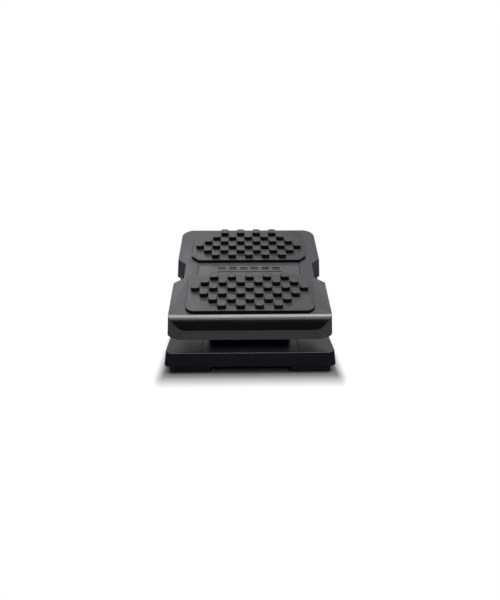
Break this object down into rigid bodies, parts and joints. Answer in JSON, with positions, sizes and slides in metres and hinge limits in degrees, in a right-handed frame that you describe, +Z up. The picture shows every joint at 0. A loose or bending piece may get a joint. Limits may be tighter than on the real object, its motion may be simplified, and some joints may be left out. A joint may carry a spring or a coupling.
{
  "type": "sustain pedal",
  "caption": "Low foot switch with a rocking treadle, two studded rubber pads, side notches and a wide rubber-footed base.",
  "frame": {"origin": "on the floor under the middle of the base's outline", "axes": "+Z up, +Y from the heel end to the toe end, +X to the right of a foot on the treadle"},
  "size_m": [0.0924, 0.0946, 0.0631],
  "materials": {
    "treadle_plastic": "moulded dark grey ABS, fine texture",
    "base_plastic": "moulded near-black ABS, satin",
    "pad_rubber": "moulded black rubber mat with raised studs",
    "foot_rubber": "black rubber",
    "name_plate_plastic": "satin grey inlay with plain engraved bars",
    "painted_steel": "black powder coat",
    "steel": "zinc plated",
    "nylon": "natural nylon",
    "switch_plastic": "black phenolic",
    "brass": "tinned brass",
    "red_plastic": "red acetal",
    "red_wire": "red PVC insulation",
    "white_wire": "white PVC insulation"
  },
  "bodies": {
    "base": {"base_shell": "base_plastic", "bottom_plate": "painted_steel", "front_left_foot": "foot_rubber", "rear_left_foot": "foot_rubber", "front_right_foot": "foot_rubber", "rear_right_foot": "foot_rubber", "bottom_plate_screw_1": "steel", "bottom_plate_screw_2": "steel", "bottom_plate_screw_3": "steel", "bottom_plate_screw_4": "steel", "bottom_plate_screw_5": "steel", "bottom_plate_screw_6": "steel", "pedestal": "base_plastic", "pedestal_screw_1": "steel", "pedestal_screw_2": "steel", "pedestal_screw_3": "steel", "pedestal_screw_4": "steel", "left_bush": "nylon", "right_bush": "nylon", "heel_bumper_left": "foot_rubber", "toe_bumper_left": "foot_rubber", "heel_bumper_right": "foot_rubber", "toe_bumper_right": "foot_rubber", "return_spring": "steel", "switch_body": "switch_plastic", "switch_terminal_common": "brass", "switch_terminal_normally_open": "brass", "switch_terminal_normally_closed": "brass", "switch_screw_1": "steel", "switch_screw_2": "steel", "cable_gland": "foot_rubber", "cable_gland_nut": "nylon", "polarity_switch_body": "steel", "polarity_terminal_normally_open": "brass", "polarity_terminal_output": "brass", "polarity_terminal_normally_closed": "brass", "wire_normally_open": "red_wire", "wire_normally_closed": "white_wire"},
    "treadle": {"treadle_shell": "treadle_plastic", "heel_pad": "pad_rubber", "toe_pad": "pad_rubber", "name_plate": "name_plate_plastic", "axle": "steel", "axle_clip": "steel", "actuator": "nylon", "actuator_screw_1": "steel", "actuator_screw_2": "steel", "spring_cup": "nylon"},
    "switch_lever": {"switch_lever": "steel"},
    "switch_button": {"switch_button": "red_plastic"},
    "polarity_slider": {"polarity_slider": "switch_plastic"}
  },
  "joints": [
    {"name": "treadle_pivot", "type": "hinge", "parent": "base", "child": "treadle", "pos_m": [0, -0.0004, 0.0382], "axis": [1, 0, 0], "range_deg": [-12, 0], "stiffness_Nm_per_rad": 1.2, "springref_deg": 11.46, "deforming": ["return_spring"]},
    {"name": "lever_hinge", "type": "hinge", "parent": "base", "child": "switch_lever", "pos_m": [0, 0.0015, 0.0229], "axis": [1, 0, 0], "range_deg": [-9.5, 0]},
    {"name": "button_slide", "type": "slide", "parent": "base", "child": "switch_button", "axis": [0, 0, 1], "range_m": [-0.0008, 0]},
    {"name": "polarity_slide", "type": "slide", "parent": "base", "child": "polarity_slider", "axis": [1, 0, 0], "range_m": [0, 0.0025]}
  ],
  "couplings": [
    {"joint": "lever_hinge", "follows": "treadle_pivot", "ratio": 0.76},
    {"joint": "button_slide", "follows": "treadle_pivot", "m_per_rad": 0.003}
  ]
}
